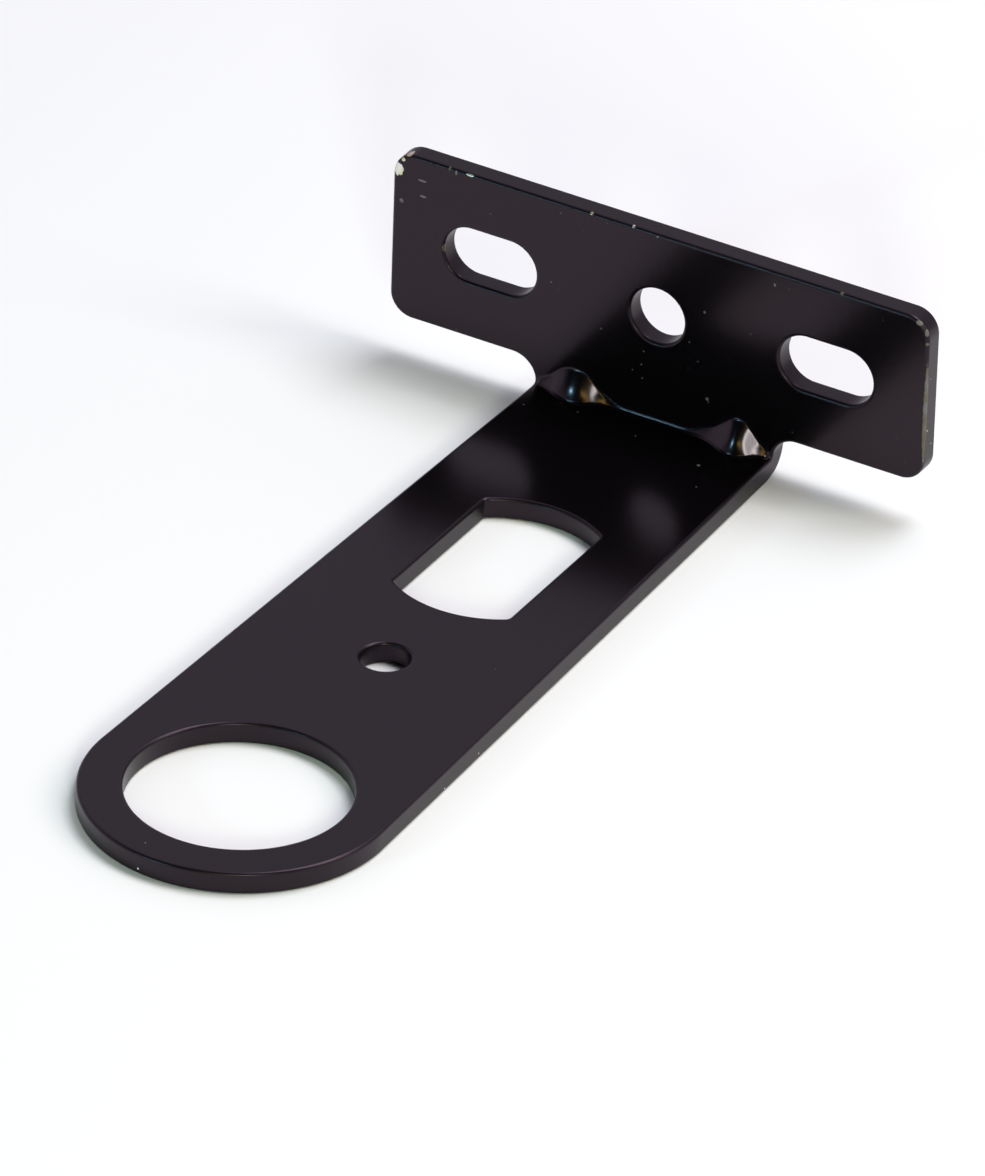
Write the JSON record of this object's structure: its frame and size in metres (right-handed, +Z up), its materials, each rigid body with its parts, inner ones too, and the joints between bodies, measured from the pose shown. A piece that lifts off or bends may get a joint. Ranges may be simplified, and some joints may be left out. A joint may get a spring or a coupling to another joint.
{
  "type": "bicycle basket bracket",
  "caption": "Folded steel head-tube bracket: a flat arm with a steerer hole and window, and a slotted upright plate that a front basket bolts to.",
  "frame": {"origin": "centre of the steerer hole on the arm's underside", "axes": "+Z up along the steerer, +Y along the arm to the plate, +X to the right across the plate"},
  "size_m": [0.0794, 0.128, 0.031],
  "materials": {
    "black_paint": "semi-gloss black paint on steel, chipped at the edges"
  },
  "bodies": {
    "root": {"bracket": "black_paint"}
  },
  "joints": []
}
